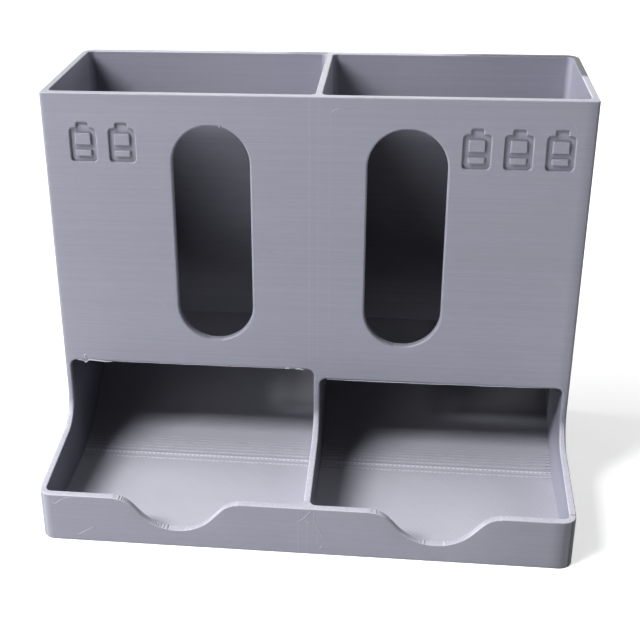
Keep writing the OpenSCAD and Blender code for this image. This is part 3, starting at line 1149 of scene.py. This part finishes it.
def make_material():
    material = bpy.data.materials.new("printed_plastic")
    n = Nodes(material)
    s = Surface(n)
    layer_tone, layer_bump = layer_signals(n, s)
    track_tone, track_bump = track_signals(n, s)
    grain = n.noise(s.spot, GRAIN_SCALE, 3.0)
    blotch = n.noise(s.spot, BLOTCH_SCALE)
    wear = n.times(n.step(n.noise(s.spot, WEAR_SCALE, 4.0), *WEAR_PATCH), WEAR_TONE)
    layered = n.times(s.upright, n.rest(n.times(s.lying_and_lit, LYING_SMOOTH)))
    light = n.times(n.total(side_light(n, s), front_light(n, s)), s.upright)
    # The sum holds the print's own marks together with painted light and shade: the side and front tones,
    # the foot's shade and the highlights on the ramps' noses
    detail = n.total(n.times(layer_tone, layered), n.times(track_tone, s.up), n.times(grain, GRAIN_TONE),
                     n.times(blotch, BLOTCH_TONE), wear, mark_tones(n, s), light)
    tone = n.times(facing_painted_light(n, s), n.total(1.0, n.times(detail, DETAIL_SHARE)))
    hue = n.blend(s.flat, PLASTIC, LIT_FLAT_PLASTIC)
    colour = n.add("ShaderNodeVectorMath", (hue, None, None, tone), operation="SCALE").outputs[0]
    rough = n.total(ROUGHNESS, n.times(layer_tone, LAYER_ROUGH), n.times(grain, GRAIN_ROUGH),
                    n.times(wear, WEAR_ROUGH))
    height = n.total(n.times(layer_bump, s.upright), n.times(track_bump, s.up), n.times(grain, GRAIN_BUMP),
                     corner_bump(n, s))
    bump = n.add("ShaderNodeBump")
    for name, value in (("Strength", 1.0), ("Distance", MM), ("Height", height)):
        n.fill(bump.inputs[name], value)
    for name, value in (("Base Color", colour), ("Roughness", rough), ("Normal", bump.outputs[0])):
        n.fill(n.shader.inputs[name], value)
    return material


# Angle between faces from which an edge stays sharp
SHARP_ANGLE = math.radians(32)


def finish_piece(name, bm, material):
    """Makes a piece: scaled to metres, smoothed, dressed in plastic and riding the case."""
    piece = mesh_object(name, bm)
    piece.data.transform(Matrix.Scale(MM, 4))
    for face in piece.data.polygons:
        face.use_smooth = True
    piece.data.set_sharp_from_angle(angle=SHARP_ANGLE)
    normals = piece.modifiers.new("normals", "WEIGHTED_NORMAL")
    normals.keep_sharp = True
    normals.weight = 100
    piece.data.materials.append(material)
    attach(piece, "root")
    return piece


def dress(name, bm, material):
    """Makes the printed piece that stands for one CAD node."""
    piece = finish_piece(name + "_print", bm, material)
    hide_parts(name)


def make_print(material):
    """All pieces of the print: one for each CAD node, and the strands and beads."""
    for build in (base_floor, back_wall, left_side_wall, right_side_wall, divider_wall):
        dress(build.__name__, build(), material)
    for kind, build in (("front_panel", front_panel), ("tray_lip", tray_lip), ("ramp", ramp)):
        for bay in BAYS:
            dress(bay.side + "_" + kind, build(bay), material)
    add_leftovers(material)


def make_camera():
    right = Vector(CAMERA_RIGHT).normalized()
    forward = Vector(CAMERA_FORWARD).normalized()
    up = right.cross(forward).normalized()
    turn = Matrix((right, up, -forward)).transposed().to_4x4()
    data = bpy.data.cameras.new("camera")
    data.lens = CAMERA_LENS
    data.sensor_width = CAMERA_SENSOR
    data.shift_x, data.shift_y = CAMERA_SHIFT
    data.clip_start = 0.01
    camera = bpy.data.objects.new("camera", data)
    camera.matrix_world = Matrix.Translation(CAMERA_PLACE) @ turn
    bpy.context.scene.collection.objects.link(camera)
    bpy.context.scene.camera = camera


# Studio: lights as (name, place, width, height, power in watts), all aimed at one target, and the floor
LIGHT_TARGET = (0, 0, 0.04)
LIGHTS = [("key", (-0.435, -0.335, 0.56), 0.35, 0.12, 5.1),
          ("left_light", (-0.81, -0.08, 0.78), 0.50, 0.50, 5.4),
          ("front_fill", (-0.80, -0.85, 0.42), 0.60, 0.60, 1.8),
          ("right_fill", (0.95, 0.0, 0.78), 0.62, 0.62, 3.4),
          ("top_left", (-0.32, 0.32, 1.15), 0.45, 0.45, 0.6),
          ("top_right", (0.32, 0.32, 1.15), 0.45, 0.45, 0.8),
          ("back_right", (0.83, 0.83, 0.29), 0.62, 0.62, 2.0),
          ("back_light", (0.0, 1.17, 0.29), 0.62, 0.62, 3.0)]
WORLD_GLOW = 0.005
FLOOR_REACH = 1.5
FLOOR_COLOUR = (0.8, 0.8, 0.8, 1)
FLOOR_ROUGHNESS = 0.8
FLOOR_GLOW = 0.29


def make_stage():
    bm = bmesh.new()
    far = FLOOR_REACH
    bm.faces.new([bm.verts.new((x, y, 0)) for x, y in ((-far, -far), (far, -far), (far, far), (-far, far))])
    floor = mesh_object("floor", bm)
    material = bpy.data.materials.new("floor")
    material.use_nodes = True
    inputs = material.node_tree.nodes["Principled BSDF"].inputs
    inputs["Base Color"].default_value = FLOOR_COLOUR
    inputs["Roughness"].default_value = FLOOR_ROUGHNESS
    inputs["Emission Color"].default_value = (1, 1, 1, 1)
    inputs["Emission Strength"].default_value = FLOOR_GLOW
    floor.data.materials.append(material)


def make_light(name, place, width, height, power):
    data = bpy.data.lights.new(name, "AREA")
    data.shape = "RECTANGLE"
    data.size = width
    data.size_y = height
    data.energy = power
    light = bpy.data.objects.new(name, data)
    back = (Vector(place) - Vector(LIGHT_TARGET)).normalized()
    across = (Vector((1, 0, 0)) - back * back.x).normalized()
    aim = Matrix((across, back.cross(across), back)).transposed().to_4x4()
    light.matrix_world = Matrix.Translation(place) @ aim
    bpy.context.scene.collection.objects.link(light)


def make_world():
    world = bpy.data.worlds.new("studio")
    world.use_nodes = True
    glow = world.node_tree.nodes["Background"].inputs
    glow["Color"].default_value = (1, 1, 1, 1)
    glow["Strength"].default_value = WORLD_GLOW
    bpy.context.scene.world = world


make_camera()
make_print(make_material())
make_stage()
for light in LIGHTS:
    make_light(*light)
make_world()
bpy.context.scene.view_settings.view_transform = "Standard"
bpy.context.scene.view_settings.look = "High Contrast"
